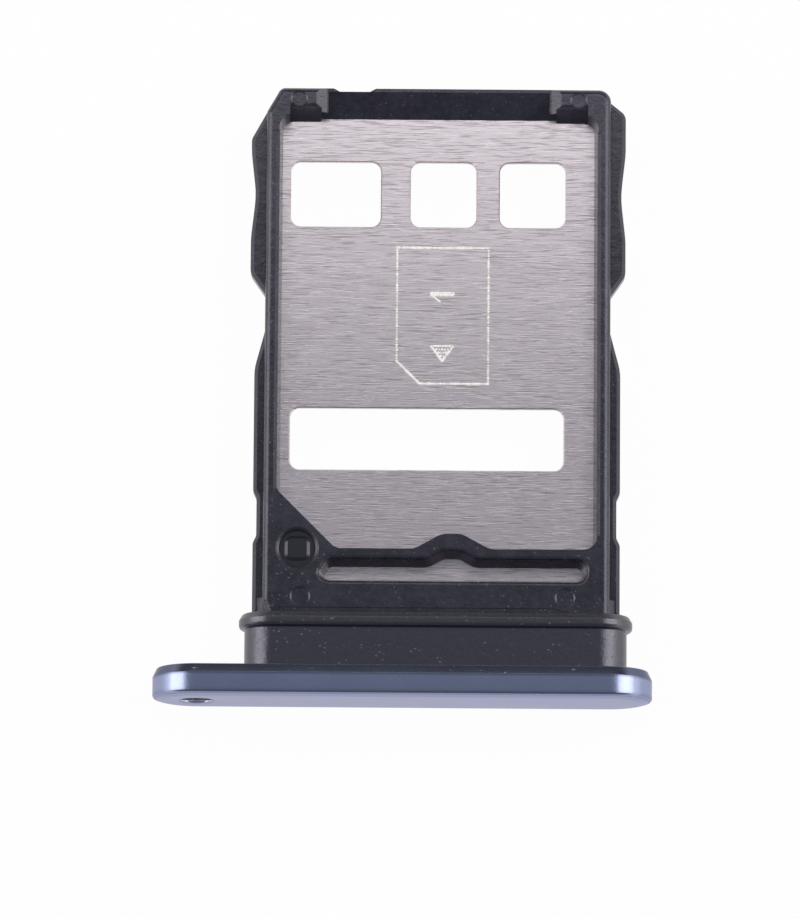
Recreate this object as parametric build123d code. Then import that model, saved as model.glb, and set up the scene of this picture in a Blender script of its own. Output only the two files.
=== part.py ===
from build123d import *
import os
from math import radians, sin, tan

# Double-sided tray for two nano cards: coated metal cap, moulded frame, divider plate, sealing ring.
# Millimetres, +Z up, cap towards -Y, origin under the middle of the bounding box.
# The pieces are drawn about the frame's centre line (x), the cap's front face (y, called depth)
# and the middle plane of the plate (z), and are moved to the tray's own frame at the end.

# Card, one on each side of the plate
CARD_WIDTH = 8.8
CARD_LENGTH = 12.3
CARD_THICKNESS = 0.67
CARD_SIDE_GAP = 0.04
CARD_END_GAP = 0.25
CARD_TOP_GAP = 0.01
CARD_CUT = 1.68

# Cap: a pill seen from the front, with a softly rolled face and a bevelled rear edge
CAP_WIDTH = 14.1
CAP_HEIGHT = 2.5
CAP_THICKNESS = 0.9
FACE_ROLL_RADIUS = 0.9
FACE_ROLL_ANGLE = 20
CAP_EDGE_RADIUS = 0.1
REAR_BEVEL_DEPTH = 0.25
REAR_BEVEL_DROP = 0.12
PIN_HOLE_RADIUS = 0.46
PIN_HOLE_RIM = 0.09
TONGUE_WIDTH = 7.2
TONGUE_THICKNESS = 0.4
TONGUE_LENGTH = 1.7
ANCHOR_RADIUS = 0.4
ANCHOR_SPREAD = 1.8

# Sealing ring on the neck
SLEEVE_WIDTH = 10.8
SLEEVE_HEIGHT = 1.64
SLEEVE_LENGTH = 1.13
SEAL_WALL = 0.25
BEAD_LENGTH = 0.43
BEAD_RISE = 0.16
BEAD_EDGE = 0.12

# Frame: rails, body, far bar and the arm with its bump
FRAME_OFFSET = 0.93
RAIL_THICKNESS = 0.46
RAIL_ROUNDING = 0.2
RAIL_LEAD_IN = 0.085
BODY_WALL = 0.87
SLOT_WIDTH = 0.68
SLOT_DRAFT = 13
SLOT_END_SHARE = 0.45
SLOT_TIP = 0.3
SLOT_TIP_SHARE = 0.3
SLOT_TIP_RADIUS = 0.19
SLOT_ROUNDING = 0.1
SLOT_LEFT_MARGIN = 1.05
SLOT_RIGHT_MARGIN = 0.17
ARM_THICKNESS = 0.27
ARM_LIFT = 0.03
BUMP_CENTRE = 0.44
BUMP_TOP_WIDTH = 0.56
BUMP_FOOT_WIDTH = 2.12
BUMP_HEIGHT = 0.43
BUMP_BEND = 0.5
HOLLOW_TOP_WIDTH = 0.5
HOLLOW_FOOT_WIDTH = 1.38
HOLLOW_HEIGHT = 0.24
HOLLOW_BEND = 0.35
POCKET_CORNER = 0.4
WALL_DRAFT = 8
BAR_THICKNESS = 0.79
BAR_DROP = 0.15
BAR_LIP = 0.1
BLOCK_WIDTH = 1.41
BLOCK_RAMP = 0.3
BLOCK_REACH = 0.08
BLOCK_BEVEL = 0.32
BLOCK_ROUNDING = 0.18
BLOCK_CROWN = 0.02
FAR_CHAMFER_WIDTH = 0.4
FAR_CHAMFER_LENGTH = 0.7
FAR_CORNER_RADIUS = 0.35
BAR_NICK_WIDTH = 0.86
BAR_NICK_CENTRE = -2.4
BAR_NICK_DEPTH = 0.1
BAR_NICK_RAMP = 0.18

# Guide flanges that run in the slots of the card reader
GUIDE_WIDTH = 0.43
GUIDE_THICKNESS = 0.66
GUIDE_BEVEL = 0.1
GUIDE_CORNER = 0.3
GUIDE_STEP = 0.14
GUIDE_LEFT_END = 0.64
GUIDE_LEFT_RAMP = 0.78
GUIDE_RIGHT_END = 0.3
GUIDE_RIGHT_RAMP = 0.35
WAIST_CENTRE = 3.05
WAIST_LENGTH = 2.5
WAIST_DEPTH = 0.14
WAIST_BEND = 3
LATCH_START = 5.33
LATCH_LENGTH = 2.77
LATCH_FLAT = 1.05
LATCH_RAMP = 0.62
LATCH_CORNER = 0.4
LATCH_BEND = 1.5
NICK_START = 2.04
NICK_LENGTH = 1.5
NICK_DEPTH = 0.1
NICK_RAMP = 0.2
NICK_BEND = 0.25

# Shallow relief in the body beside the bead, and the facet that ends the left rail there
RELIEF_LENGTH = 0.13
RELIEF_DEPTH = 0.03
RELIEF_LEFT_MARGIN = 0.45
RELIEF_RIGHT_MARGIN = 1.1
RELIEF_RAMP = 0.5
RAIL_END_WIDTH = 0.27
RAIL_END_LENGTH = 0.75
RAIL_END_DROP = 0.16

# Marks that the mould leaves on the frame
GATE_X = -3.92
GATE_RADIUS = 0.52
GATE_DEPTH = 0.12
GATE_RIM = 0.09
GATE_STUB_WIDTH = 0.72
GATE_STUB_CORNER = 0.22
GATE_STUB_HEIGHT = 0.05
GATE_STUB_BEVEL = 0.09
PIN_MARK_RADIUS = 0.24
BLOCK_MARK_RADIUS = 0.2
PIN_MARK_DEPTH = 0.03
PIN_MARK_RIM = 0.05
RIM_SLOPE = 0.5
LEFT_MARK_X = -3.83
RIGHT_MARK_X = 3.64
BLOCK_MARK_SPREAD = 3.98

# Divider plate and its windows
PLATE_THICKNESS = 0.15
PLATE_SIDE_GRIP = 0.24
PLATE_END_GRIP = 0.3
PLATE_CORNER = 0.35
CONTACT_PITCH = 2.54
WINDOW_WIDTH = 1.87
WINDOW_BAR = 0.85
WINDOW_LENGTH = 1.89
LONG_WINDOW_LENGTH = 1.78
WINDOW_LEFT_MARGIN = 0.24
WINDOW_RIGHT_MARGIN = 0.82
WINDOW_FAR_MARGIN = 1.24
LONG_WINDOW_INSET = 2.38
LONG_WINDOW_TRIM = 0.03
WINDOW_CORNER = 0.28
PUNCH_ROLL = 0.03

# Room past a surface that a cutting shape is given
PAST = 0.2

# Heights above the middle plane
floor_z = PLATE_THICKNESS / 2
rail_z = floor_z + CARD_THICKNESS + CARD_TOP_GAP
bar_z = rail_z - BAR_DROP

# Run of the drafted walls from the plate up to the rim
pocket_run = (rail_z - floor_z) * tan(radians(WALL_DRAFT))
slot_run = (rail_z - floor_z) * tan(radians(SLOT_DRAFT))

# Half-widths from the frame's centre line
pocket_x = CARD_WIDTH / 2 + CARD_SIDE_GAP
rim_x = pocket_x + pocket_run
rail_x = pocket_x + RAIL_THICKNESS
guide_x = rail_x + GUIDE_WIDTH
block_x = rail_x - BLOCK_WIDTH
slot_left = SLOT_LEFT_MARGIN - pocket_x
slot_right = pocket_x - SLOT_RIGHT_MARGIN

# Depths behind the cap's front face
bead_y = CAP_THICKNESS + SLEEVE_LENGTH
body_y = bead_y + BEAD_LENGTH
slot_y = body_y + BODY_WALL
arm_y = slot_y + SLOT_WIDTH
pocket_y = arm_y + ARM_THICKNESS
bar_y = pocket_y + CARD_LENGTH + CARD_END_GAP
tray_length = bar_y + BAR_THICKNESS


def pill(half_section, straight):
    """Half section in the YZ plane, turned about Y at both ends and drawn straight between them."""
    upper = Pos(-straight / 2, 0, 0) * extrude(half_section, amount=straight, dir=(1, 0, 0))
    right_end = Pos(straight / 2, 0, 0) * revolve(half_section, Axis.Y, 180)
    return upper + mirror(upper, Plane.XY) + right_end + mirror(right_end, Plane.YZ)


def along_x(outline, x_start, x_end):
    """Prism with an outline in y and z as its section, from x_start to x_end."""
    section = Plane.YZ * make_face(outline)
    return Pos(x_start, 0, 0) * extrude(section, amount=x_end - x_start, dir=(1, 0, 0))


def sunk_disc(x, y, radius, depth, rim_width):
    """Disc with a slanting rim, sunk from the top of the rails where a mould pin or the gate was."""
    disc = Pos(0, 0, -depth / 2) * Cylinder(radius, depth)
    drop = rim_width * RIM_SLOPE
    rim = Pos(0, 0, -drop / 2) * Cone(radius, radius + rim_width, drop)
    return Pos(x, y, rail_z) * (disc + rim)


def gate_stub():
    """Low, flat-topped stub of plastic that is left where the gate was cut."""
    foot = RectangleRounded(GATE_STUB_WIDTH, GATE_STUB_WIDTH, GATE_STUB_CORNER)
    top = Pos(0, 0, GATE_STUB_HEIGHT) * offset(foot, -GATE_STUB_BEVEL)
    return loft([foot, top], ruled=True)


def front_cap():
    """Pill-shaped cap with the ejector-pin hole, and the anchor tongue inside the neck."""
    radius = CAP_HEIGHT / 2
    turn = sin(radians(FACE_ROLL_ANGLE))
    flat = radius - FACE_ROLL_RADIUS * turn - CAP_EDGE_RADIUS * (1 - turn)
    face = Line((0, 0), (0, flat))
    roll = JernArc(face @ 1, face % 1, FACE_ROLL_RADIUS, -FACE_ROLL_ANGLE)
    edge = JernArc(roll @ 1, roll % 1, CAP_EDGE_RADIUS, FACE_ROLL_ANGLE - 90)
    back = Polyline(
        edge @ 1,
        (CAP_THICKNESS - REAR_BEVEL_DEPTH, radius),
        (CAP_THICKNESS, radius - REAR_BEVEL_DROP),
        (CAP_THICKNESS, 0),
        (0, 0),
    )
    straight = CAP_WIDTH - CAP_HEIGHT
    cap = pill(Plane.YZ * make_face(face + roll + edge + back), straight)

    hole_centre = (-straight / 2, 0, 0)
    cap -= Pos(hole_centre) * Rot(90, 0, 0) * Cylinder(PIN_HOLE_RADIUS, 4 * CAP_THICKNESS)
    rim = cap.edges().filter_by(GeomType.CIRCLE).sort_by_distance(hole_centre)[0]
    cap = chamfer(rim, PIN_HOLE_RIM)

    tongue_y = CAP_THICKNESS + TONGUE_LENGTH / 2
    tongue = Pos(0, tongue_y, 0) * Box(TONGUE_WIDTH, TONGUE_LENGTH, TONGUE_THICKNESS)
    for side in (-1, 1):
        tongue -= Pos(side * ANCHOR_SPREAD, tongue_y, 0) * Cylinder(ANCHOR_RADIUS, TONGUE_THICKNESS)
    return Pos(-FRAME_OFFSET, 0, 0) * cap + tongue


def sealing_ring():
    """Sleeve between the cap and the body, with a round-shouldered bead against the body."""
    outside = SLEEVE_HEIGHT / 2
    inside = outside - SEAL_WALL
    crest = outside + BEAD_RISE
    sleeve = Line((CAP_THICKNESS, outside), (bead_y, outside))
    bead = FilletPolyline(
        (bead_y, outside),
        (bead_y, crest),
        (body_y, crest),
        (body_y, outside),
        radius=BEAD_EDGE,
    )
    bore = Polyline(
        (body_y, outside),
        (body_y, inside),
        (CAP_THICKNESS, inside),
        (CAP_THICKNESS, outside),
    )
    return pill(Plane.YZ * make_face(sleeve + bead + bore), SLEEVE_WIDTH - SLEEVE_HEIGHT)


def plate_blank():
    """Sheet that separates the two pockets, gripped by the frame on all four sides."""
    near = slot_y - PLATE_END_GRIP
    far = bar_y + PLATE_END_GRIP
    sheet = RectangleRounded(2 * (pocket_x + PLATE_SIDE_GRIP), far - near, PLATE_CORNER)
    return Pos(0, (near + far) / 2, 0) * extrude(sheet, PLATE_THICKNESS / 2, both=True)


def divider_plate():
    """The sheet with its contact windows and long window punched from above."""
    plate = plate_blank()
    left = WINDOW_LEFT_MARGIN - pocket_x
    right = pocket_x - WINDOW_RIGHT_MARGIN
    last_x = right - WINDOW_WIDTH / 2
    second_x = last_x - CONTACT_PITCH
    first_width = second_x - WINDOW_WIDTH / 2 - WINDOW_BAR - left
    row_y = bar_y - WINDOW_FAR_MARGIN - WINDOW_LENGTH / 2
    long_y = pocket_y + LONG_WINDOW_INSET + LONG_WINDOW_LENGTH / 2
    windows = (
        (left + first_width / 2, row_y, first_width, WINDOW_LENGTH),
        (second_x, row_y, WINDOW_WIDTH, WINDOW_LENGTH),
        (last_x, row_y, WINDOW_WIDTH, WINDOW_LENGTH),
        ((left + right) / 2, long_y, right - left - 2 * LONG_WINDOW_TRIM, LONG_WINDOW_LENGTH),
    )
    for x, y, width, length in windows:
        opening = RectangleRounded(width, length, WINDOW_CORNER)
        plate -= Pos(x, y, 0) * extrude(opening, PLATE_THICKNESS, both=True)
    top = plate.faces().sort_by(Axis.Z)[-1]
    window_edges = [edge for wire in top.inner_wires() for edge in wire.edges()]
    return chamfer(window_edges, PUNCH_ROLL)


def frame_blank():
    """Rails, body and bar as one block, its upper and lower edges rounded except beside the bead."""
    outline = FilletPolyline(
        (-rail_x, body_y),
        (rail_x, body_y),
        (rail_x, tray_length),
        (FAR_CHAMFER_WIDTH - rail_x, tray_length),
        (-rail_x, tray_length - FAR_CHAMFER_LENGTH),
        radius=[0, 0, FAR_CORNER_RADIUS, RAIL_ROUNDING, RAIL_ROUNDING],
        close=True,
    )
    block = extrude(make_face(outline), rail_z, both=True)
    top_edges = block.faces().sort_by(Axis.Z)[-1].edges().sort_by(Axis.Y)[1:]
    bottom_edges = block.faces().sort_by(Axis.Z)[0].edges().sort_by(Axis.Y)[1:]
    return fillet(top_edges + bottom_edges, RAIL_ROUNDING)


def guide_side(end_gap, end_ramp):
    """Right-hand guide flange from the body to the far end, as (x, y, corner radius)."""
    near_x = guide_x - GUIDE_STEP
    nick_y = body_y + NICK_START
    latch_y = tray_length - LATCH_START
    latch_near = latch_y - LATCH_LENGTH
    flat_far = latch_y - LATCH_RAMP
    waist_y = tray_length - WAIST_CENTRE
    return [
        (near_x, body_y, 0),
        (near_x, nick_y, NICK_BEND),
        (near_x - NICK_DEPTH, nick_y + NICK_RAMP, NICK_BEND),
        (near_x - NICK_DEPTH, nick_y + NICK_LENGTH - NICK_RAMP, NICK_BEND),
        (near_x, nick_y + NICK_LENGTH, NICK_BEND),
        (near_x, latch_near, LATCH_BEND),
        (rail_x, flat_far - LATCH_FLAT, 0),
        (rail_x, flat_far, 0),
        (guide_x, latch_y, LATCH_CORNER),
        (guide_x, waist_y - WAIST_LENGTH / 2, WAIST_BEND),
        (guide_x - WAIST_DEPTH, waist_y, WAIST_BEND),
        (guide_x, waist_y + WAIST_LENGTH / 2, WAIST_BEND),
        (guide_x, tray_length - end_gap - end_ramp, GUIDE_CORNER),
        (rail_x, tray_length - end_gap, 0),
    ]


def guide_flanges():
    """Both flanges as one flat blank; the pockets clear its middle."""
    right = guide_side(GUIDE_RIGHT_END, GUIDE_RIGHT_RAMP)
    left = [(-x, y, bend) for x, y, bend in reversed(guide_side(GUIDE_LEFT_END, GUIDE_LEFT_RAMP))]
    corners = [(x, y) for x, y, bend in right + left]
    bends = [bend for x, y, bend in right + left]
    outline = FilletPolyline(*corners, radius=bends, close=True)
    blank = extrude(make_face(outline), GUIDE_THICKNESS / 2, both=True)
    top_edges = blank.faces().sort_by(Axis.Z)[-1].edges()
    bottom_edges = blank.faces().sort_by(Axis.Z)[0].edges()
    return chamfer(top_edges + bottom_edges, GUIDE_BEVEL)


def drafted_room(rim, run, draft):
    """Room under a rim outline, narrowing by the given run from the top of the rails to the plate."""
    at_floor = offset(make_face(rim), -run)
    return Pos(0, 0, floor_z) * extrude(at_floor, rail_z - floor_z + PAST, taper=-draft)


def bump(y, height, top_width, foot_width):
    """Four points of a bump on one side of the arm, which lies at depth y, from right to left."""
    return [
        (BUMP_CENTRE + foot_width / 2, y),
        (BUMP_CENTRE + top_width / 2, y + height),
        (BUMP_CENTRE - top_width / 2, y + height),
        (BUMP_CENTRE - foot_width / 2, y),
    ]


def pocket_cut():
    """Room for one card, with its cut corner and the bump of the arm."""
    far = bar_y + pocket_run
    block_far = far - BLOCK_REACH
    inner_x = block_x - BLOCK_RAMP / 2
    rim = [
        (-rim_x, pocket_y + CARD_CUT),
        (-rim_x, block_far),
        (-inner_x - BLOCK_REACH, block_far),
        (-inner_x, far),
        (inner_x, far),
        (inner_x + BLOCK_REACH, block_far),
        (rim_x, block_far),
        (rim_x, pocket_y),
        *bump(pocket_y, BUMP_HEIGHT, BUMP_TOP_WIDTH, BUMP_FOOT_WIDTH),
        (CARD_CUT - rim_x, pocket_y),
    ]
    wide = POCKET_CORNER
    bend = BUMP_BEND
    radii = [wide, wide, 0, 0, 0, 0, wide, wide, bend, bend, bend, bend, wide]
    return drafted_room(FilletPolyline(*rim, radius=radii, close=True), pocket_run, WALL_DRAFT)


def slot_cut():
    """Slot behind the arm that lets it bend, and the thin gap that lifts the arm off the plate."""
    rim = [
        (slot_left + SLOT_TIP, slot_y),
        (slot_right, slot_y),
        (slot_right, arm_y),
        *bump(arm_y, HOLLOW_HEIGHT, HOLLOW_TOP_WIDTH, HOLLOW_FOOT_WIDTH),
        (slot_left + SLOT_TIP, arm_y),
        (slot_left, slot_y + SLOT_WIDTH * SLOT_TIP_SHARE),
    ]
    end = SLOT_WIDTH * SLOT_END_SHARE
    bend = HOLLOW_BEND
    radii = [SLOT_TIP, end, end, bend, bend, bend, bend, SLOT_TIP, SLOT_TIP_RADIUS]
    slot = drafted_room(FilletPolyline(*rim, radius=radii, close=True), slot_run, SLOT_DRAFT)
    length = slot_run + ARM_THICKNESS + BUMP_HEIGHT + pocket_run
    gap = Box(slot_right - slot_left, length, ARM_LIFT, align=(Align.MIN, Align.MIN, Align.MIN))
    return slot + Pos(slot_left, arm_y - slot_run, floor_z) * gap


def lead_in_cut(near):
    """Bevel along the inner top edge of the right rail, from depth near to the corner block."""
    section = Polyline(
        (rim_x + RAIL_LEAD_IN + PAST, rail_z + PAST),
        (rim_x - PAST, rail_z - RAIL_LEAD_IN - PAST),
        (rim_x - PAST, rail_z + PAST),
        close=True,
    )
    far = bar_y - BLOCK_REACH - POCKET_CORNER
    return Pos(0, far, 0) * extrude(Plane.XZ * make_face(section), amount=far - near)


def bar_cuts():
    """Low, sloping middle of the far bar, and the steeper inner faces of its corner blocks.

    Past each rounded edge the cutting outline runs on just clear of the block's top.
    """
    above = rail_z + PAST
    crown = rail_z + BLOCK_CROWN
    low_x = block_x - BLOCK_RAMP
    soft = BLOCK_ROUNDING
    low = FilletPolyline(
        (-low_x, bar_z),
        (low_x, bar_z),
        (block_x, rail_z),
        (rail_x, crown),
        (rail_x, above),
        (-rail_x, above),
        (-rail_x, crown),
        (-block_x, rail_z),
        radius=[soft, soft, soft, 0, 0, 0, 0, soft],
        close=True,
    )
    step_length = BAR_THICKNESS + 2 * PAST
    step = Pos(0, tray_length + PAST, 0) * extrude(Plane.XZ * make_face(low), amount=step_length)
    inner_x = block_x - BLOCK_RAMP / 2
    lip_y = tray_length - BAR_LIP
    hollow = Polyline((bar_y, floor_z), (lip_y, bar_z), (bar_y, bar_z), close=True)
    middle = along_x(hollow, -inner_x, inner_x)
    block_y = bar_y - BLOCK_REACH
    slope = FilletPolyline(
        (block_y, floor_z),
        (block_y + BLOCK_BEVEL, rail_z),
        (tray_length, crown),
        (tray_length, above),
        (block_y, above),
        radius=[0, soft, 0, 0, 0],
        close=True,
    )
    blocks = along_x(slope, inner_x, pocket_x - POCKET_CORNER / 2)
    return step + middle + blocks + mirror(blocks, Plane.YZ)


def relief_cut():
    """Shallow step in the body's top beside the bead, with a slanting right end."""
    outline = Polyline(
        (RELIEF_LEFT_MARGIN - rail_x, body_y),
        (rail_x - RELIEF_RIGHT_MARGIN, body_y),
        (rail_x - RELIEF_RIGHT_MARGIN - RELIEF_RAMP, body_y + RELIEF_LENGTH),
        (RELIEF_LEFT_MARGIN - rail_x, body_y + RELIEF_LENGTH),
        close=True,
    )
    return Pos(0, 0, rail_z - RELIEF_DEPTH) * extrude(make_face(outline), RELIEF_DEPTH + PAST)


def rail_end_cut():
    """Slanting facet that ends the left rail's top at the bead, falling outwards to the flange."""
    inner = Vector(RAIL_END_WIDTH - rail_x, body_y, rail_z)
    far = Vector(-rail_x, body_y + RAIL_END_LENGTH, rail_z)
    low = Vector(-rail_x, body_y, rail_z - RAIL_END_DROP)
    above = Vector(-rail_x, body_y, rail_z)
    faces = [make_face(Polyline(*corners, close=True)).face() for corners in (
        (inner, far, low),
        (inner, far, above),
        (inner, low, above),
        (far, low, above),
    )]
    return Solid(Shell(faces))


def slot_rims(frame):
    """Edges round the slot's mouth in the highest and the lowest face of the frame."""
    flats = frame.faces().filter_by(Axis.Z).sort_by(Axis.Z)
    return [edge for flat in (flats[0], flats[-1]) for rim in flat.inner_wires() for edge in rim.edges()]


def card_frame(cap):
    """One moulding round the cap's tongue and the plate's edges, alike on both sides."""
    core_radius = SLEEVE_HEIGHT / 2 - SEAL_WALL
    core_length = body_y + BODY_WALL / 2 - CAP_THICKNESS
    half_core = Rectangle(core_length, core_radius, align=(Align.MIN, Align.MIN))
    core = pill(Plane.YZ * Pos(CAP_THICKNESS, 0, 0) * half_core, SLEEVE_WIDTH - SLEEVE_HEIGHT)
    frame = frame_blank() + guide_flanges() + core

    lead_ins = lead_in_cut(pocket_y + POCKET_CORNER) + mirror(lead_in_cut(pocket_y + CARD_CUT), Plane.YZ)
    one_side = pocket_cut() + slot_cut() + lead_ins + bar_cuts() + relief_cut() + rail_end_cut()
    frame -= one_side
    frame -= Rot(0, 180, 0) * one_side
    frame = fillet(slot_rims(frame), SLOT_ROUNDING)

    nick = Polyline(
        (BAR_NICK_CENTRE - BAR_NICK_WIDTH / 2, tray_length - BAR_NICK_DEPTH),
        (BAR_NICK_CENTRE + BAR_NICK_WIDTH / 2, tray_length - BAR_NICK_DEPTH),
        (BAR_NICK_CENTRE + BAR_NICK_WIDTH / 2 + BAR_NICK_RAMP, tray_length),
        (BAR_NICK_CENTRE - BAR_NICK_WIDTH / 2 - BAR_NICK_RAMP, tray_length),
        close=True,
    )
    frame -= extrude(make_face(nick), rail_z, both=True)

    frame -= sunk_disc(GATE_X, pocket_y, GATE_RADIUS, GATE_DEPTH, GATE_RIM)
    frame += Pos(GATE_X, pocket_y, rail_z - GATE_DEPTH) * gate_stub()
    body_mark_y = body_y + BODY_WALL / 2
    block_mark_y = tray_length - BAR_THICKNESS / 2 + BLOCK_REACH / 2
    marks = (
        (LEFT_MARK_X, body_mark_y, PIN_MARK_RADIUS),
        (RIGHT_MARK_X, body_mark_y, PIN_MARK_RADIUS),
        (-BLOCK_MARK_SPREAD, block_mark_y, BLOCK_MARK_RADIUS),
        (BLOCK_MARK_SPREAD, block_mark_y, BLOCK_MARK_RADIUS),
    )
    for x, y, radius in marks:
        frame -= sunk_disc(x, y, radius, PIN_MARK_DEPTH, PIN_MARK_RIM)
    return frame - cap - plate_blank()


cap = front_cap()
pieces = {
    "front_cap": cap,
    "card_frame": card_frame(cap),
    "divider_plate": divider_plate(),
    "sealing_ring": sealing_ring(),
}

os.makedirs("parts", exist_ok=True)
to_tray = Pos(FRAME_OFFSET, -tray_length / 2, CAP_HEIGHT / 2)
for node, piece in pieces.items():
    export_step(to_tray * piece, f"parts/{node}.step")
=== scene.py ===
# %% [markdown]
# A card tray for a phone
#
# The tray has four pieces: a coated metal cap that closes the slot in the phone's side, a black frame
# moulded round a thin steel plate, and a rubber ring behind the cap that keeps water out. Their solids
# come ready-made from the CAD model. This lesson dresses them: it loads the solids, rebuilds the
# pieces whose curves deserve a finer surface, gives each piece its finish, and lights the result.

# %% Load the solids
import math

import bpy
import numpy as np
from mathutils import Matrix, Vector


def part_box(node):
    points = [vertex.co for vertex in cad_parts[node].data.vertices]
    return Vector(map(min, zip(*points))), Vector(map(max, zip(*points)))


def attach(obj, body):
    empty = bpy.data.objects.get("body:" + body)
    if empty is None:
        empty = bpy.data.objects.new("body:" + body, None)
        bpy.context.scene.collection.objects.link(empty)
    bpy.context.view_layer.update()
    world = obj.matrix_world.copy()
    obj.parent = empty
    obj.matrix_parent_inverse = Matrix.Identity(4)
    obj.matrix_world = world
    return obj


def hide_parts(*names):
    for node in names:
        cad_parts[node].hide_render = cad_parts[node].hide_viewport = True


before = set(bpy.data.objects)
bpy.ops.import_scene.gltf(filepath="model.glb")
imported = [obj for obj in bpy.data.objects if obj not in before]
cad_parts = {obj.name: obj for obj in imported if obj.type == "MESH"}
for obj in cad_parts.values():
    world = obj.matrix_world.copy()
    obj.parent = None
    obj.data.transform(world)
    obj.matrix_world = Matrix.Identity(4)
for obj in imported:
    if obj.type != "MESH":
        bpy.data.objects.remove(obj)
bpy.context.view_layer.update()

print("nodes:", ", ".join(sorted(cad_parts)))

# %% [markdown]
# Measures
#
# Every size here is in millimetres, because the tray is only 17 mm long and a maker would give its
# sizes that way. Blender works in metres, so a mesh is scaled once, when it is written. The boxes of
# the solids say where each piece lies, and nothing has to be fitted by eye.

# %% Boxes of the solids
MM = 0.001


def corners_of(node):
    """Lowest and highest corner of a solid, as arrays in millimetres."""
    low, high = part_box(node)
    return np.array(low) / MM, np.array(high) / MM


cap_low, cap_high = corners_of("front_cap")
seal_low, seal_high = corners_of("sealing_ring")
plate_low, plate_high = corners_of("divider_plate")
frame_low, frame_high = corners_of("card_frame")
middle_z = (plate_low[2] + plate_high[2]) / 2
frame_x = (plate_low[0] + plate_high[0]) / 2
front_y = cap_low[1]
print("cap", (cap_high - cap_low).round(2), "frame", (frame_high - frame_low).round(2), "mm")

# %% [markdown]
# From a grid of points to a mesh
#
# A surface made with numpy is a grid of points, and a mesh is a list of corners and faces. The helper
# below takes the whole grid at once: it numbers the points, rolls the numbers by one row and one
# column to find each face's other corners, and hands the arrays to Blender with `foreach_set`. Both
# directions close on themselves, as on a ring. The signed volume under the faces tells whether they
# point outwards, and where it is negative each face is turned over.

# %% Mesh helpers


def signed_volume(points, faces):
    """Sum over the faces of corner . (next x after next) / 6, for fans of triangles from corner 0."""
    first = points[faces[:, 0]]
    fans = [
        np.einsum("ij,ij->i", first, np.cross(points[faces[:, k]], points[faces[:, k + 1]])).sum()
        for k in range(1, faces.shape[1] - 1)
    ]
    return sum(fans) / 6


def put_mesh(name, points, faces):
    """Writes points (in millimetres) and faces of one size into a new smooth-shaded object."""
    if signed_volume(points, faces) < 0:
        faces = faces[:, ::-1]
    mesh = bpy.data.meshes.new(name)
    mesh.vertices.add(len(points))
    mesh.vertices.foreach_set("co", (points * MM).astype(np.float32).ravel())
    mesh.loops.add(faces.size)
    mesh.loops.foreach_set("vertex_index", faces.astype(np.int32).ravel())
    mesh.polygons.add(len(faces))
    mesh.polygons.foreach_set("loop_start", np.arange(0, faces.size, faces.shape[1], dtype=np.int32))
    mesh.polygons.foreach_set("use_smooth", np.ones(len(faces), dtype=bool))
    mesh.update(calc_edges=True)
    piece = bpy.data.objects.new(name, mesh)
    bpy.context.scene.collection.objects.link(piece)
    print(f"{name}: {len(points)} points, {len(faces)} faces")
    return piece


def ring_faces(rows, columns):
    """Four corners of every cell of a grid that closes on itself in both directions."""
    here = np.arange(rows * columns).reshape(rows, columns)
    beside = np.roll(here, -1, axis=1)
    cells = [here, beside, np.roll(beside, -1, axis=0), np.roll(here, -1, axis=0)]
    return np.stack(cells, axis=-1).reshape(-1, 4)


def put_ring(name, grid):
    """A grid of points, shaped (rows, columns, 3), as a closed ring."""
    return put_mesh(name, grid.reshape(-1, 3), ring_faces(*grid.shape[:2]))


# %% [markdown]
# Profiles with rounded corners
#
# No real edge is perfectly sharp, and it is the small radius that catches the light. A section is
# drawn as a closed polygon with a radius at each corner. An arc of radius r touches both sides of a
# corner at r / tan(h) from it, where h is half the corner's angle, and its centre lies at r / sin(h)
# along the bisector. All the corners are worked out together, one array row each.

# %% Rounded profile


def unit(vectors):
    """The vectors divided by their lengths."""
    return vectors / np.linalg.norm(vectors, axis=-1, keepdims=True)


def rounded(corners, radii, steps=9):
    """Closed polygon with an arc at each corner, as an array (corners, steps, 2).

    Between the arc's first and last radius, s and e, a share t of the sweep w is
    (sin((1 - t) w) s + sin(t w) e) / sin(w).
    """
    corners = np.asarray(corners, dtype=float)
    radii = np.asarray(radii, dtype=float)[:, None]
    back = unit(np.roll(corners, 1, axis=0) - corners)
    ahead = unit(np.roll(corners, -1, axis=0) - corners)
    half = np.arccos((back * ahead).sum(axis=1, keepdims=True)) / 2
    centre = corners + unit(back + ahead) * radii / np.sin(half)
    start = (corners + back * radii / np.tan(half) - centre)[:, None]
    end = (corners + ahead * radii / np.tan(half) - centre)[:, None]
    sweep = (math.pi - 2 * half)[:, None]
    share = np.linspace(0, 1, steps)[None, :, None]
    arc = (np.sin((1 - share) * sweep) * start + np.sin(share * sweep) * end) / np.sin(sweep)
    return centre[:, None] + arc


# %% [markdown]
# The way round a pill
#
# Cap and seal are both pills: two half circles joined by straight sides. Every point of such an
# outline is a point of the spine, the short line between the two circle centres, plus a reach along
# an outward direction. Keeping spine and direction apart lets one path serve every reach. Steps along
# the straight sides crowd towards the left, where the cap's hole needs them.

# %% Pill path
ARC_STEPS = 72
STRAIGHT_STEPS = 44
CROWDING = 1.5


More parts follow.
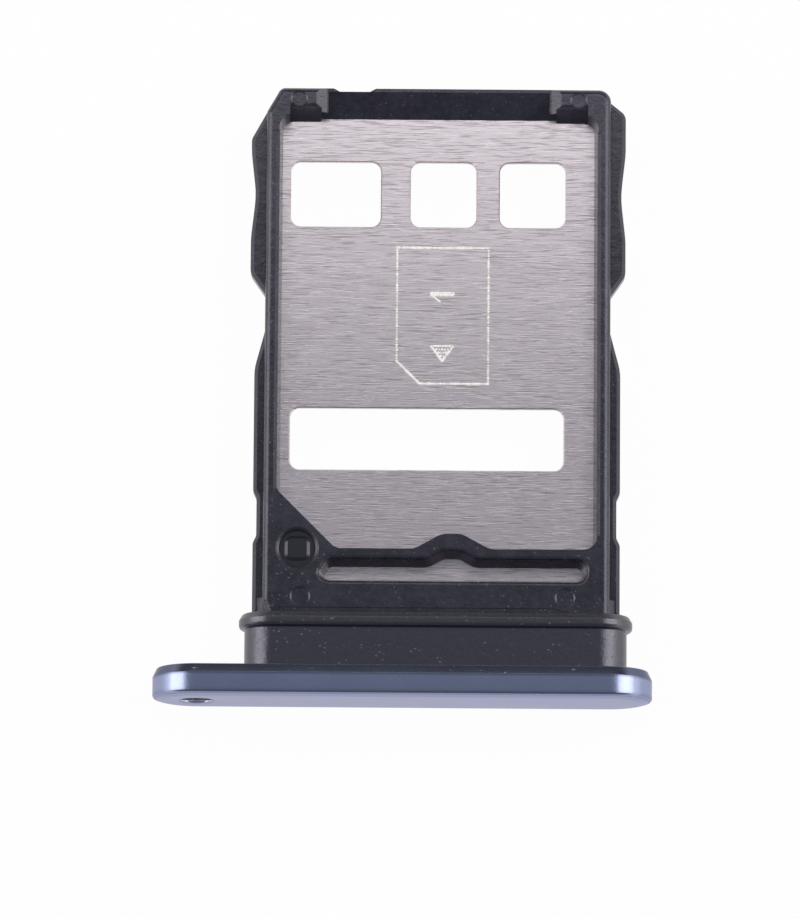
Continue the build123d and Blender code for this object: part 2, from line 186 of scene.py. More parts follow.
def pill_path(centre_x, straight):
    """Spine points and outward directions in the XZ plane, once round, each shaped (columns, 2).

    Right half turn, upper side, left half turn, lower side. On a side the place is t ** CROWDING.
    """
    turn = np.linspace(-math.pi / 2, math.pi / 2, ARC_STEPS, endpoint=False)
    rightward = np.linspace(0, 1, STRAIGHT_STEPS, endpoint=False)
    leftward = 1 - rightward
    angle = np.concatenate([
        turn,
        np.full(STRAIGHT_STEPS, math.pi / 2),
        turn + math.pi,
        np.full(STRAIGHT_STEPS, -math.pi / 2),
    ])
    share = np.concatenate([
        np.ones(ARC_STEPS),
        leftward ** CROWDING,
        np.zeros(ARC_STEPS),
        rightward ** CROWDING,
    ])
    spine_x = centre_x + (share - 0.5) * straight
    spine = np.stack([spine_x, np.full_like(spine_x, middle_z)], axis=-1)
    return spine, np.stack([np.cos(angle), np.sin(angle)], axis=-1)


def carried(outline, depth):
    """Points of an outline (rows, columns, 2) in X and Z, with each row's depth as Y."""
    y = np.broadcast_to((front_y + depth)[:, None], outline.shape[:2])
    return np.stack([outline[..., 0], y, outline[..., 1]], axis=-1)


# %% [markdown]
# The cap
#
# The cap is milled from aluminium bar, blasted and anodised. Its face is flat in the middle and
# rolls off gently to a small edge radius, the rear edge is bevelled, and a hole for the ejector pin
# goes through one end. It could be a bevelled cube with a boolean hole, but booleans leave ragged
# shading. Here one section, from the hole's rim over the face and round the edge to the hole's far
# rim, is carried round the pill. The rows at the hole take their direction from the hole's centre to
# the outline, so the face between hole and edge is one clean fan.

# %% Cap surface
FACE_ROLL_RADIUS = 0.9
FACE_ROLL_ANGLE = math.radians(20)
EDGE_RADIUS = 0.1
REAR_BEVEL_LENGTH = 0.25
REAR_BEVEL_DROP = 0.12
PIN_HOLE_RADIUS = 0.46
PIN_HOLE_RIM = 0.09
FINE_EDGE = 0.03

cap_radius = (cap_high[2] - cap_low[2]) / 2
cap_straight = cap_high[0] - cap_low[0] - 2 * cap_radius
cap_x = (cap_low[0] + cap_high[0]) / 2
hole_x = cap_x - cap_straight / 2
cap_thickness = seal_low[1] - cap_low[1]
bevel_start = cap_thickness - REAR_BEVEL_LENGTH


def cap_section():
    """Corners as (depth, reach) and radii, from the hole's front rim round to its back rim.

    The face turns by the roll's angle a and then by 90 degrees - a, and the slanting run between
    the two corners is as long as their tangents, r tan(a / 2) + e tan((90 - a) / 2).
    """
    edge_angle = math.pi / 2 - FACE_ROLL_ANGLE
    run = FACE_ROLL_RADIUS * math.tan(FACE_ROLL_ANGLE / 2) + EDGE_RADIUS * math.tan(edge_angle / 2)
    corners = [
        (0, PIN_HOLE_RADIUS),
        (0, cap_radius - run * math.cos(FACE_ROLL_ANGLE)),
        (run * math.sin(FACE_ROLL_ANGLE), cap_radius),
        (bevel_start, cap_radius),
        (cap_thickness, cap_radius - REAR_BEVEL_DROP),
        (cap_thickness, PIN_HOLE_RADIUS),
    ]
    radii = [PIN_HOLE_RIM, FACE_ROLL_RADIUS, EDGE_RADIUS, FINE_EDGE, FINE_EDGE, FINE_EDGE]
    return np.array(corners), radii


def cap_surface():
    """Edge rows are spine + reach * outward; hole rows are hole centre + reach * towards the outline."""
    spine, outward = pill_path(cap_x, cap_straight)
    hole = np.array([hole_x, middle_z])
    from_hole = unit(spine + cap_radius * outward - hole)
    corners, radii = cap_section()
    arcs = rounded(corners, radii)
    at_hole = corners[:, 1] == PIN_HOLE_RADIUS
    is_hole = np.repeat(at_hole, arcs.shape[1])[:, None, None]
    depth, reach = arcs.reshape(-1, 2).T
    reach = reach[:, None, None]
    outline = np.where(is_hole, hole + reach * from_hole, spine + reach * outward)
    return carried(outline, depth)


coated_cap = put_ring("coated_cap", cap_surface())
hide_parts("front_cap")
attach(coated_cap, "root")

# %% [markdown]
# The seal
#
# A sleeve of silicone is pulled over the neck behind the cap, with a bead at its end that is squeezed
# in the phone's slot. It is the same idea as the cap without the hole: a closed section carried round
# a pill. The bead slopes off behind, where it enters the slot first, has a round shoulder in front, and
# meets the sleeve in a small hollow radius.

# %% Seal surface
SLEEVE_WALL = 0.25
BEAD_LENGTH = 0.43
BEAD_RISE = 0.16
BEAD_SHOULDER = 0.125
BEAD_SLOPE_LENGTH = 0.17
BEAD_SLOPE_DROP = 0.1
BEAD_RIDGE = 0.03
BEAD_HEEL = 0.08
BEAD_FOOT = 0.03
SEAL_EDGE = 0.02

seal_x = (seal_low[0] + seal_high[0]) / 2
seal_crest = (seal_high[2] - seal_low[2]) / 2
seal_straight = seal_high[0] - seal_low[0] - 2 * seal_crest
sleeve_radius = seal_crest - BEAD_RISE


def seal_section():
    """Rounded section as (depth, reach) rows, from the bore over sleeve and bead and back."""
    front = cap_thickness
    back = seal_high[1] - front_y
    bore = sleeve_radius - SLEEVE_WALL
    bead = back - BEAD_LENGTH
    corners = [
        (front, bore),
        (front, sleeve_radius),
        (bead, sleeve_radius),
        (bead, seal_crest),
        (back - BEAD_SLOPE_LENGTH, seal_crest),
        (back, seal_crest - BEAD_SLOPE_DROP),
        (back, bore),
    ]
    radii = [SEAL_EDGE, SEAL_EDGE, BEAD_FOOT, BEAD_SHOULDER, BEAD_RIDGE, BEAD_HEEL, SEAL_EDGE]
    return rounded(corners, radii).reshape(-1, 2)


def seal_surface():
    """Every row is spine + reach * outward, at the row's depth behind the cap's face."""
    spine, outward = pill_path(seal_x, seal_straight)
    depth, reach = seal_section().T
    return carried(spine + reach[:, None, None] * outward, depth)


rubber_seal = put_ring("rubber_seal", seal_surface())
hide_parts("sealing_ring")
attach(rubber_seal, "root")

# %% [markdown]
# The moulded frame and the plate
#
# The frame does the tray's real work, with a card pocket and a spring arm on either side of the plate,
# drafted walls, rounded rails and guide flanges. The plate is a blanked sheet with a small bevel round
# each window. Both solids already have all of that, down to the smallest edges, and each corner of their
# meshes carries the normal of the true surface. So they are kept as they are, and only dressed. A
# surface made anew would have to repeat every wall.

# %% Solids that are kept
moulded_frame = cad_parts["card_frame"]
steel_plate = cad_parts["divider_plate"]
for piece in (moulded_frame, steel_plate):
    print(piece.name, len(piece.data.polygons), "triangles kept")

# %% [markdown]
# The etched mark
#
# A laser has drawn a card on the plate, to show which way it goes in: the outline with its cut
# corner, a triangle that points at the cap, and the number of the pocket. The laser fires in pulses,
# so the line is a row of tiny pale spots. It could be painted in the plate's material, but real spots
# stay sharp however close the camera comes. One shallow dome is copied along the lines with a single
# broadcast addition.

# %% Laser spots
SPOT_RADIUS = 0.04
SPOT_SPREAD = 0.25
SPOT_HEIGHT = 0.004
SPOT_SHOULDER = 0.7
SPOT_SIDES = 10
FINE_PITCH = 0.04
OPEN_PITCH = 0.078
# Places across count from the mark's middle, and places along from the plate's near edge.
MARK_X = 0.14
CARD_HALF_WIDTH = 1.3
CARD_NEAR = 6.13
CARD_FAR = 10.07
CARD_CUT = 0.65
ARROW_NEAR = 6.78
ARROW_FAR = 7.22
ARROW_LEFT = -0.33
ARROW_RIGHT = 0.31
ARROW_FILL = (0.22, 0.44, 0.66)
NUMBER_FAR = 8.7
NUMBER_FLAG = (0.24, 0.18)
NUMBER_STROKE = 0.06


def spots_along(line, pitch):
    """Places at even steps of about the pitch along a line of (x, depth) points.

    The length up to each point is summed, and the steps are found between the points by interpolation.
    """
    line = np.asarray(line, dtype=float)
    length = np.concatenate([[0], np.cumsum(np.linalg.norm(np.diff(line, axis=0), axis=1))])
    steps = np.linspace(0, length[-1], int(round(length[-1] / pitch)) + 1)
    return np.stack([np.interp(steps, length, column) for column in line.T], axis=-1)


def mark_places():
    """Spots of the card's outline, the arrow and the number, in X and Y of the tray."""
    side = CARD_HALF_WIDTH
    cut_start = (-side, CARD_NEAR + CARD_CUT)
    cut_end = (CARD_CUT - side, CARD_NEAR)
    arrow_tip = ((ARROW_LEFT + ARROW_RIGHT) / 2, ARROW_NEAR)
    number_top = (ARROW_LEFT, NUMBER_FAR)
    number_foot = (ARROW_RIGHT, NUMBER_FAR)
    flag_end = (ARROW_LEFT + NUMBER_FLAG[0], NUMBER_FAR - NUMBER_FLAG[1])
    beside_top = (ARROW_LEFT, NUMBER_FAR + NUMBER_STROKE)
    beside_foot = (ARROW_RIGHT, NUMBER_FAR + NUMBER_STROKE)
    fill = [
        [(edge + share * (arrow_tip[0] - edge), ARROW_FAR + share * (ARROW_NEAR - ARROW_FAR))
         for edge in (ARROW_LEFT, ARROW_RIGHT)]
        for share in ARROW_FILL
    ]
    lines = [(line, OPEN_PITCH) for line in fill] + [
        ([cut_start, (-side, CARD_FAR)], OPEN_PITCH),
        ([(-side, CARD_FAR), (side, CARD_FAR)], FINE_PITCH),
        ([(side, CARD_FAR), (side, CARD_NEAR)], OPEN_PITCH),
        ([(side, CARD_NEAR), cut_end, cut_start], FINE_PITCH),
        ([arrow_tip, (ARROW_LEFT, ARROW_FAR), (ARROW_RIGHT, ARROW_FAR), arrow_tip], FINE_PITCH),
        ([flag_end, number_top, beside_top, beside_foot, number_foot, number_top], FINE_PITCH),
    ]
    places = np.concatenate([spots_along(line, pitch) for line, pitch in lines])
    return places + np.array([frame_x + MARK_X, plate_low[1]])


def spot_shells(places):
    """A dome for every place: rim points below the plate's face and one crown point above it.

    The shoulder lies at SPOT_SHOULDER of the radius and of the height. The k-th dome is
    1 + SPOT_SPREAD sin(k * k) times as wide, so that no two neighbours are alike.
    """
    around = np.linspace(0, 2 * math.pi, SPOT_SIDES, endpoint=False)
    ring = np.stack([np.cos(around), np.sin(around), np.zeros(SPOT_SIDES)], axis=-1)
    foot = ring * SPOT_RADIUS - [0, 0, SPOT_HEIGHT]
    shoulder = SPOT_SHOULDER * (ring * SPOT_RADIUS + [0, 0, SPOT_HEIGHT])
    dome = np.concatenate([foot, shoulder, [[0, 0, SPOT_HEIGHT], [0, 0, -SPOT_HEIGHT]]])
    heights = np.full((len(places), 1), plate_high[2])
    centres = np.concatenate([places, heights], axis=1)
    count = np.arange(len(places))
    width = (1 + SPOT_SPREAD * np.sin(count * count))[:, None, None]
    domes = dome * np.concatenate([width, width, np.ones_like(width)], axis=-1)
    here = np.arange(SPOT_SIDES)
    beside = np.roll(here, -1)
    crown = np.full(SPOT_SIDES, 2 * SPOT_SIDES)
    triangles = np.concatenate([
        np.stack([here, beside, beside + SPOT_SIDES], axis=-1),
        np.stack([here, beside + SPOT_SIDES, here + SPOT_SIDES], axis=-1),
        np.stack([here + SPOT_SIDES, beside + SPOT_SIDES, crown], axis=-1),
        np.stack([beside, here, crown + 1], axis=-1),
    ])
    shift = count[:, None, None] * len(dome)
    points = (centres[:, None] + domes).reshape(-1, 3)
    return points, (triangles + shift).reshape(-1, 3)


places = mark_places()
etched_mark = put_mesh("etched_mark", *spot_shells(places))
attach(etched_mark, "root")
print(len(places), "laser spots")

# %% [markdown]
# Shader maths in plain Python
#
# A finish is a small calculation done at every point of a surface. Written as nodes it soon becomes
# a web of boxes, so a thin class wraps a node's output: adding or multiplying two of them adds a Math
# node and returns its output, and `1 - mask` works because the reflected operators are there too. All
# other nodes come from one method, which sets a node's options before its inputs, because an option
# such as the data type decides which inputs exist.

# %% Finish and Value


class Value:
    """One output of a shader node. Arithmetic on it adds a Math node."""

    def __init__(self, finish, socket):
        self.finish = finish
        self.socket = socket

    def math(self, operation, *others):
        """A Math node with this value in its first input."""
        return self.finish.node("Math", {"operation": operation}, dict(enumerate((self, *others))))

    def __add__(self, other):
        return self.math("ADD", other)

    def __sub__(self, other):
        return self.math("SUBTRACT", other)

    def __rsub__(self, other):
        return self.finish.node("Math", {"operation": "SUBTRACT"}, {0: other, 1: self})

    def __mul__(self, other):
        return self.math("MULTIPLY", other)

    def __pow__(self, other):
        return self.math("POWER", other)

    __radd__ = __add__
    __rmul__ = __mul__

    def __abs__(self):
        return self.math("ABSOLUTE")

    def most(self, other):
        """The larger of two values."""
        return self.math("MAXIMUM", other)

    def ease(self, low, high):
        """0 below low, 1 above high and a smooth step between; low may be the larger one."""
        inputs = {"Value": self, "From Min": low, "From Max": high}
        return self.finish.node("MapRange", {"interpolation_type": "SMOOTHSTEP"}, inputs)

    def band(self, centre, full, end):
        """1 up to a distance of full from the centre, 0 from end on and a smooth step between."""
        return abs(self - centre).ease(end, full)

    def output(self, name):
        """Another output of the same node."""
        return Value(self.finish, self.socket.node.outputs[name])


class Finish:
    """A node tree under construction, with its main shader."""

    def __init__(self, tree, shader=None):
        self.tree = tree
        self.shader = shader

    def node(self, kind, settings=None, inputs=None, output=0):
        """Adds a node: its settings first, then the values or links of its inputs."""
        made = self.tree.nodes.new("ShaderNode" + kind)
        for name, value in (settings or {}).items():
            setattr(made, name, value)
        self.set_inputs(made, inputs or {})
        return Value(self, made.outputs[output]) if made.outputs else None

    def set_inputs(self, node, inputs):
        """Links each input that gets a Value, and sets the others to their number or colour."""
        for key, value in inputs.items():
            if isinstance(value, Value):
                self.tree.links.new(value.socket, node.inputs[key])
            else:
                node.inputs[key].default_value = value

    def feed(self, **inputs):
        """Values or links for the main shader; an underscore in a name stands for a space."""
        self.set_inputs(self.shader, {key.replace("_", " "): value for key, value in inputs.items()})

    def place(self, stretch=1):
        """Object coordinates in millimetres, times one number or one for each axis."""
        coordinates = self.node("TexCoord", output="Object")
        scale = np.broadcast_to(stretch, 3) / MM
        return self.node("VectorMath", {"operation": "MULTIPLY"}, {0: coordinates, 1: scale.tolist()})

    def axes(self):
        """X, Y and Z in millimetres, as three values."""
        split = self.node("SeparateXYZ", None, {0: self.place()})
        return split, split.output("Y"), split.output("Z")

    def noise(self, per_mm, detail, roughness=0.5):
        """Soft noise from 0 to 1, with so many cells per millimetre, all round or along each axis."""
        inputs = {"Vector": self.place(per_mm), "Scale": 1.0, "Detail": detail, "Roughness": roughness}
        return self.node("TexNoise", None, inputs, "Fac")

    def specks(self, per_mm, size):
        """Ragged specks: 1 at each cell's point, easing to 0 at about size, a share of the cell."""
        inputs = {"Vector": self.place(per_mm), "Scale": 1.0, "Randomness": 1.0}
        distance = self.node("TexVoronoi", None, inputs, "Distance")
        ragged = self.noise(4 * per_mm, detail=1)
        return (distance + size * (ragged - 0.5)).ease(size, size / 2)

    def mix(self, factor, first, second):
        """Colour between first and second."""
        inputs = {0: factor, 6: first, 7: second}
        return self.node("Mix", {"data_type": "RGBA"}, inputs, 2)

    def bump(self, height, depth):
        """Normal of a surface raised by height times depth, in millimetres."""
        inputs = {"Height": height, "Distance": depth * MM, "Strength": 1.0}
        return self.node("Bump", None, inputs, "Normal")


def new_finish(name):
    """A material with an empty Principled shader."""
    material = bpy.data.materials.new(name)
    material.use_nodes = True
    return material, Finish(material.node_tree, material.node_tree.nodes["Principled BSDF"])


def colour(red, green, blue):
    """A colour given as a screen shows it, 0 to 255, made linear for the shader."""
    shown = np.array([red, green, blue]) / 255
    linear = np.where(shown <= 0.04045, shown / 12.92, ((shown + 0.055) / 1.055) ** 2.4)
    return (*linear.tolist(), 1.0)


def dress(piece, material):
    """Gives a piece one material."""
    piece.data.materials.clear()
    piece.data.materials.append(material)
    print(piece.name, "wears", material.name)


# %% [markdown]
# Anodised coat
#
# The cap is blasted with fine beads and dyed a grey lilac. Up close the blasted metal is a field of
# tiny dimples, so a fine noise moves the normal, and a broader one makes the sheen uneven. Handling
# has chipped the coat in places along both outer edges, down to bright metal. Both outer edges, the
# rear bevel most of all, are also painted darker: painted shade for the dark surroundings they
# reflect. The bore of the pin hole is bare. The edges lie at known depths and the bore at a known
# radius, so distances give the masks, and noise breaks up the chips.

# %% Cap finish
COAT = colour(148, 155, 184)
# Painted shade: a darker coat colour laid on the rear bevel and behind the front edge, for the dark
# surroundings they reflect.
COAT_PAINTED_SHADE = colour(98, 102, 122)
COAT_GRAZED = (0.8, 0.78, 0.86, 1.0)
BARE_METAL = colour(205, 205, 212)
COAT_ROUGHNESS = 0.24
COAT_UNEVENNESS = 0.06
COAT_CLOUDS_PER_MM = 0.8
DIMPLES_PER_MM = 26
DIMPLE_DEPTH = 0.0016
BORE_EDGE = 0.02
BORE_SMOOTHING = 0.6
# Painted shade on the rear bevel starts so far ahead of the bevel, is full so far onto it and fades
# so far before the back. Painted shade behind the front edge has a strength, and starts, peaks and
# ends at these depths.
REAR_SHADE_AHEAD = 0.1
REAR_SHADE_FULL = 0.02
REAR_FACE_EDGE = 0.03
FRONT_SHADE = 0.3
FRONT_SHADE_START = 0.06
FRONT_SHADE_PEAK = 0.12
FRONT_SHADE_END = 0.24
# Chips: the middle of each band, and the distances from it where chips are full and where they end.
REAR_CHIPS_BEHIND = 0.08
REAR_CHIPS_SPAN = (0.04, 0.12)
FRONT_CHIPS_DEPTH = 0.07
FRONT_CHIPS_SPAN = (0.01, 0.05)
CHIPS_PER_MM = (3.2, 9, 9)
CHIP_PEAKS = (0.65, 0.7)
CHIP_SINK = 0.6


def anodised_coat():
    """Dyed metal, chipped along its edges and painted darker there as shade, with a bare bore."""
    material, finish = new_finish("anodised_coat")
    dimples = finish.noise(DIMPLES_PER_MM, detail=3)
    cloud = finish.noise(COAT_CLOUDS_PER_MM, detail=2)
    across, along, up = finish.axes()
    depth = along - front_y
    from_hole = ((across - hole_x) ** 2 + (up - middle_z) ** 2) ** 0.5
    bore = from_hole.ease(PIN_HOLE_RADIUS + BORE_EDGE, PIN_HOLE_RADIUS)
    # Painted shade: the coat colour is darkened on the rear bevel and in a band behind the front edge.
    on_bevel = depth.ease(bevel_start - REAR_SHADE_AHEAD, bevel_start + REAR_SHADE_FULL)
    rear_painted_shade = on_bevel * depth.ease(cap_thickness, cap_thickness - REAR_FACE_EDGE)
    rising = depth.ease(FRONT_SHADE_START, FRONT_SHADE_PEAK)
    front_painted_shade = FRONT_SHADE * depth.ease(FRONT_SHADE_END, FRONT_SHADE_PEAK) * rising
    painted_shade = rear_painted_shade.most(front_painted_shade) * (1 - bore)
    rear_chips = depth.band(bevel_start + REAR_CHIPS_BEHIND, *REAR_CHIPS_SPAN)
    front_chips = depth.band(FRONT_CHIPS_DEPTH, *FRONT_CHIPS_SPAN)
    breaks = finish.noise(CHIPS_PER_MM, detail=4, roughness=0.7).ease(*CHIP_PEAKS)
    bare = (rear_chips.most(front_chips) * breaks).most(bore)
    finish.feed(
        Base_Color=finish.mix(bare, finish.mix(painted_shade, COAT, COAT_PAINTED_SHADE), BARE_METAL),
        Metallic=1.0,
        Specular_Tint=COAT_GRAZED,
        Roughness=(COAT_ROUGHNESS + COAT_UNEVENNESS * cloud) * (1 - BORE_SMOOTHING * bore),
        Normal=finish.bump(dimples - CHIP_SINK * bare, DIMPLE_DEPTH),
    )
    return material


dress(coated_cap, anodised_coat())

# %% [markdown]
# Moulded black plastic
#
# Glass-filled nylon comes out of the mould nearly black, with a fine grain and cloudy patches where
# it cooled unevenly. The round gate, where it was let into the mould, is free of that grain, and its
# recess is painted a darker black: painted shade. Handling leaves pale specks of dust. Specks are
# cells of a Voronoi pattern, thinned out by a noise so that they do not look evenly strewn. The black
# has a cold sheen, so its reflection is tinted.

# %% Dust
DUST = colour(165, 165, 170)
DUST_PER_MM = 6.5
DUST_SIZE = 0.2
DUST_TINT = 0.12
DUST_ROUGHNESS = 0.2


def strewn_dust(finish, patches_per_mm, patch_edge):
    """Specks of dust times a soft noise, so that they lie in patches."""
    patches = finish.noise(patches_per_mm, detail=1).ease(*patch_edge)
    return finish.specks(DUST_PER_MM, DUST_SIZE) * patches


# %% Frame finish
PLASTIC = colour(25, 24, 33)
PLASTIC_PALE = colour(43, 42, 52)
# A darker black for the gate recess: painted shade for the shadow of the recess wall; the smoother
# finish there is real.
PLASTIC_GATE_SHADED = colour(20, 22, 28)
PLASTIC_IOR = 1.62
BLACK_SHEEN = (0.92, 0.89, 1.0, 1)
GATE_PLACE = (-3.92, 1.25)
GATE_RADIUS = 0.6
GATE_EDGE = 0.03
GATE_ABOVE = 0.1
GATE_ROUGHNESS = 0.3
MOULD_GRAIN_PER_MM = 15
MOULD_LUMPS_PER_MM = 5
MOULD_CLOUDS_PER_MM = 1.3
MOULD_ROUGHNESS = 0.2
MOULD_GRAIN_ROUGHNESS = 0.12
MOULD_DEPTH = 0.011
MOULD_GRAIN_RISE = 0.4
MOULD_DUST_RISE = 0.3
MOULD_MOTTLE = (0.35, 0.65)
FRAME_DUST_PER_MM = 2.2
FRAME_DUST_EDGE = (0.42, 0.6)


def moulded_plastic():
    """Mottled black with a grain, lumps and dust everywhere but on the gate."""
    material, finish = new_finish("moulded_plastic")
    grain = finish.noise(MOULD_GRAIN_PER_MM, detail=4, roughness=0.65)
    lumps = finish.noise(MOULD_LUMPS_PER_MM, detail=3, roughness=0.6)
    cloud = finish.noise(MOULD_CLOUDS_PER_MM, detail=3)
    dust = strewn_dust(finish, FRAME_DUST_PER_MM, FRAME_DUST_EDGE)
    across, along, up = finish.axes()
    gate_x = across - (frame_x + GATE_PLACE[0])
    gate_y = along - (plate_low[1] + GATE_PLACE[1])
    from_gate = (gate_x ** 2 + gate_y ** 2) ** 0.5
    on_top = up.ease(middle_z, middle_z + GATE_ABOVE)
    gate = from_gate.ease(GATE_RADIUS, GATE_RADIUS - GATE_EDGE) * on_top
    matt = 1 - gate
    mottle = (0.5 * cloud + 0.5 * lumps).ease(*MOULD_MOTTLE)
    # In the gate recess the base turns to the darker black, as painted shade.
    base = finish.mix(gate, finish.mix(mottle, PLASTIC, PLASTIC_PALE), PLASTIC_GATE_SHADED)
    rise = MOULD_GRAIN_RISE * grain + lumps + MOULD_DUST_RISE * dust
    rough = MOULD_ROUGHNESS + MOULD_GRAIN_ROUGHNESS * grain + DUST_ROUGHNESS * dust
    finish.feed(
        Base_Color=finish.mix(DUST_TINT * dust * matt, base, DUST),
        IOR=PLASTIC_IOR,
        Specular_Tint=BLACK_SHEEN,
        Roughness=GATE_ROUGHNESS * gate + rough * matt,
        Normal=finish.bump(matt * rise, MOULD_DEPTH),
    )
    return material


dress(moulded_frame, moulded_plastic())

# %% [markdown]
# Brushed steel
#
# The plate is blanked from sheet steel that a belt has brushed from side to side. Each scratch is a
# short groove, long in X and narrow in Y. A noise stretched along X gives them, and a threshold keeps
# only its peaks: one noise for the dark dashes, another for fine pale hairs. They tint the metal,
# change its roughness and tilt its normal, which spreads a reflection across the scratches as real
# brushing does.

# %% Plate finish
STEEL = colour(212, 202, 205)
STEEL_DARK = colour(170, 161, 164)
STEEL_PALE = colour(226, 217, 219)
STEEL_ROUGHNESS = 0.3
DASHES_PER_MM = (1.4, 34, 4)
DASH_PEAKS = (0.53, 0.63)
HAIRS_PER_MM = (1.6, 42, 4)
HAIR_PEAKS = (0.54, 0.64)
HAIR_STRENGTH = 0.6
SCRATCH_ROUGHNESS = 0.05
SCRATCH_DEPTH = 0.0011


def brushed_steel():
    """Steel with dark dashes that lie deeper and are rougher, and pale hairs that are smoother."""
    material, finish = new_finish("brushed_steel")
    dark = finish.noise(DASHES_PER_MM, detail=2).ease(*DASH_PEAKS)
    pale = HAIR_STRENGTH * finish.noise(HAIRS_PER_MM, detail=2).ease(*HAIR_PEAKS)
    ground = finish.mix(dark, STEEL, STEEL_DARK)
    finish.feed(
        Base_Color=finish.mix(pale, ground, STEEL_PALE),
        Metallic=1.0,
        Roughness=STEEL_ROUGHNESS + SCRATCH_ROUGHNESS * (dark - pale),
        Normal=finish.bump(pale - dark, SCRATCH_DEPTH),
    )
    return material


dress(steel_plate, brushed_steel())

# %% [markdown]
# Laser mark and silicone
#
# The laser leaves a matt cream, through which the steel still shows in places. The silicone of the seal
# is smooth, so that its round ends shine, and because it is tacky it carries dust as the frame does.
# Both are built from the same noises as the finishes above: painted textures would show no more at
# this size.

# %% Mark and seal finishes
MARK = colour(255, 250, 241)
MARK_ROUGHNESS = 0.7
MARK_TONES_PER_MM = 14
MARK_PEAKS = (0.45, 0.7)
MARK_STEEL = 0.6
SILICONE = colour(20, 19, 28)
SILICONE_IOR = 1.95
SILICONE_GRAIN_PER_MM = 14
SILICONE_LUMPS_PER_MM = 4
SILICONE_ROUGHNESS = 0.22
SILICONE_GRAIN_ROUGHNESS = 0.16
SILICONE_DEPTH = 0.011
SILICONE_GRAIN_RISE = 0.5
SILICONE_DUST_RISE = 0.4
SEAL_DUST_PER_MM = 2.6
SEAL_DUST_EDGE = (0.45, 0.6)


def laser_cream():
    """Matt cream through which some of the steel shows."""
    material, finish = new_finish("laser_cream")
    tone = finish.noise(MARK_TONES_PER_MM, detail=1).ease(*MARK_PEAKS)
    finish.feed(Base_Color=finish.mix(MARK_STEEL * tone, MARK, STEEL), Roughness=MARK_ROUGHNESS)
    return material


def silicone():
    """Black rubber with a soft grain and lumps, and dust."""
    material, finish = new_finish("silicone")
    grain = finish.noise(SILICONE_GRAIN_PER_MM, detail=4, roughness=0.65)
    lumps = finish.noise(SILICONE_LUMPS_PER_MM, detail=3, roughness=0.6)
    dust = strewn_dust(finish, SEAL_DUST_PER_MM, SEAL_DUST_EDGE)
    rise = SILICONE_GRAIN_RISE * grain + lumps + SILICONE_DUST_RISE * dust
    finish.feed(
        Base_Color=finish.mix(DUST_TINT * dust, SILICONE, DUST),
        IOR=SILICONE_IOR,
        Specular_Tint=BLACK_SHEEN,
        Roughness=SILICONE_ROUGHNESS + SILICONE_GRAIN_ROUGHNESS * grain + DUST_ROUGHNESS * dust,
        Normal=finish.bump(rise, SILICONE_DEPTH),
    )
    return material


dress(etched_mark, laser_cream())
dress(rubber_seal, silicone())

# %% [markdown]
# Floor, lamps and surroundings
#
# The floor is a plain white sheet. What the camera and the reflections see of it is nearly all plain
# white, and a small share stays an ordinary lit surface, so that the tray keeps a faint shadow. Two
# large soft boxes stand left and right, because the bright ends of the cap mirror them, and a smaller
# one behind brightens the far end of the plate. The room is pale low down, most of all at the sides,
# which lights the flanks of frame and seal, and it is darker overhead.

# %% Stage
FLOOR_SIZE = 4000
FLOOR_WHITE = 0.97
FLOOR_GREY = (0.85, 0.85, 0.85, 1)


def white_floor():
    """Plain white to the camera and in reflections, with a share of a surface that takes shadows."""
    material = bpy.data.materials.new("white_floor")
    material.use_nodes = True
    tree = material.node_tree
    tree.nodes.clear()
    finish = Finish(tree)
    seen = finish.node("LightPath", output="Is Camera Ray")
    seen = seen.most(seen.output("Is Glossy Ray")).most(seen.output("Is Transmission Ray"))
    lit = finish.node("BsdfDiffuse", None, {"Color": FLOOR_GREY})
    white = finish.node("Emission", None, {"Color": (1, 1, 1, 1), "Strength": 1.0})
    both = finish.node("MixShader", None, {0: seen * FLOOR_WHITE, 1: lit, 2: white})
    finish.node("OutputMaterial", None, {"Surface": both})
    return material


half_floor = FLOOR_SIZE / 2
floor_points = np.array([[-1, -1, 0], [1, -1, 0], [1, 1, 0], [-1, 1, 0]]) * half_floor
floor = put_mesh("floor", floor_points, np.array([[0, 1, 2, 3]]))
dress(floor, white_floor())


# %% Lamps
def soft_box(name, direction, distance, width, height, radiance):
    """Area lamp that faces the tray from a direction; power = pi * area * radiance."""
    lamp = bpy.data.lights.new(name, "AREA")
    lamp.shape = "RECTANGLE"
    lamp.size = width * MM
    lamp.size_y = height * MM
    lamp.energy = math.pi * lamp.size * lamp.size_y * radiance
    stand = bpy.data.objects.new(name, lamp)
    towards = unit(np.array(direction, dtype=float))
    stand.location = (towards * distance * MM).tolist()
    stand.rotation_mode = "QUATERNION"
    stand.rotation_quaternion = stand.location.to_track_quat("Z", "Y")
    stand.visible_camera = False
    bpy.context.scene.collection.objects.link(stand)
    print(f"{name}: {lamp.energy:.3f} W")


soft_box("left_box", (-0.78, 0.12, 0.61), distance=160, width=85, height=110, radiance=2.9)
soft_box("right_box", (0.73, 0.12, 0.68), distance=160, width=85, height=110, radiance=3.2)
soft_box("far_box", (0.0, 0.54, 0.84), distance=58, width=70, height=28, radiance=1.45)

# %% Surroundings
HORIZON = (0.95, 0.95, 0.95, 1)
SIDES = (1.5, 1.5, 1.5, 1)
SIDES_SPAN = (0.45, 0.8)
SIDES_RISE = 0.22
OVERHEAD = (0.27, 0.29, 0.33, 1)
OVERHEAD_SPAN = (0.05, 0.3)
BEHIND = (0.1, 0.1, 0.11, 1)
BEHIND_SPAN = (0.35, 0.7)
AHEAD = (0.2, 0.21, 0.25, 1)
AHEAD_SPAN = (0.02, -0.3)


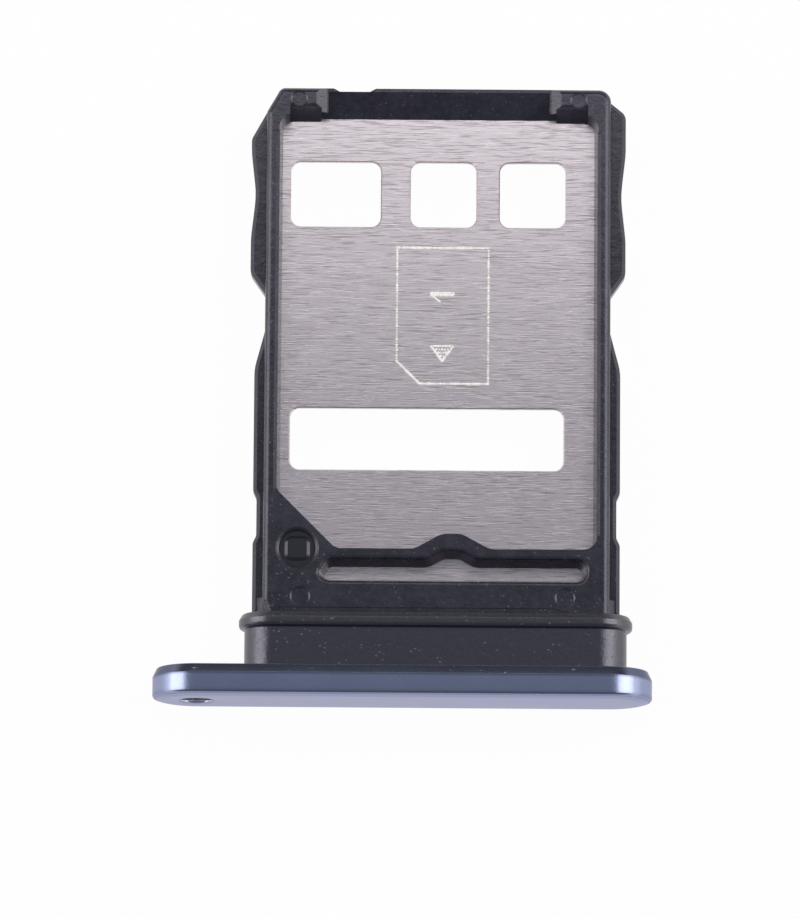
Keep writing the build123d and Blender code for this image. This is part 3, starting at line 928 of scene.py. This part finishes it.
def surroundings():
    """World colour by direction: pale at the horizon, paler and higher at the sides, grey overhead."""
    world = bpy.data.worlds.new("studio")
    world.use_nodes = True
    bpy.context.scene.world = world
    finish = Finish(world.node_tree, world.node_tree.nodes["Background"])
    direction = finish.node("TexCoord", output="Generated")
    across = finish.node("SeparateXYZ", None, {0: direction})
    far = across.output("Y")
    height = across.output("Z")
    side = abs(across).ease(*SIDES_SPAN)
    lower = finish.mix(side, HORIZON, SIDES)
    upper = finish.mix(far.ease(*BEHIND_SPAN), OVERHEAD, BEHIND)
    upper = finish.mix(far.ease(*AHEAD_SPAN), upper, AHEAD)
    rise = (height - SIDES_RISE * side).ease(*OVERHEAD_SPAN)
    finish.feed(Color=finish.mix(rise, lower, upper), Strength=1.0)
    print(f"{world.name}: {len(world.node_tree.nodes)} nodes")


surroundings()
bpy.context.scene.view_settings.view_transform = "Standard"

# %% [markdown]
# Camera
#
# The tray is seen from nearly straight above, leaning towards the cap so that its face just shows.
# The picture is 800 by 918 pixels. The lens follows from how many pixels a millimetre takes at the
# distance of the target: focal length = sensor * pixels per millimetre * distance / picture height.

# %% Camera
PICTURE_HEIGHT = 918
PIXELS_PER_MM = 35.28
SENSOR = 36
CAMERA_DISTANCE = 250
CAMERA_TILT = math.radians(10.8)
CAMERA_ROLL = math.radians(0.43)
TARGET = (-0.11, -1.82, 1.25)
CLIP_NEAR = 10
CLIP_FAR = 100000

lens = bpy.data.cameras.new("camera")
lens.sensor_width = SENSOR
lens.lens = SENSOR * PIXELS_PER_MM * CAMERA_DISTANCE / PICTURE_HEIGHT
lens.clip_start = CLIP_NEAR * MM
lens.clip_end = CLIP_FAR * MM
camera = bpy.data.objects.new("camera", lens)
bpy.context.scene.collection.objects.link(camera)
bpy.context.scene.camera = camera
back = np.array([0, -math.sin(CAMERA_TILT), math.cos(CAMERA_TILT)])
position = Matrix.Translation(((np.array(TARGET) + CAMERA_DISTANCE * back) * MM).tolist())
turn = Matrix.Rotation(CAMERA_TILT, 4, "X") @ Matrix.Rotation(CAMERA_ROLL, 4, "Z")
camera.matrix_world = position @ turn
print(f"lens {lens.lens:.1f} mm")
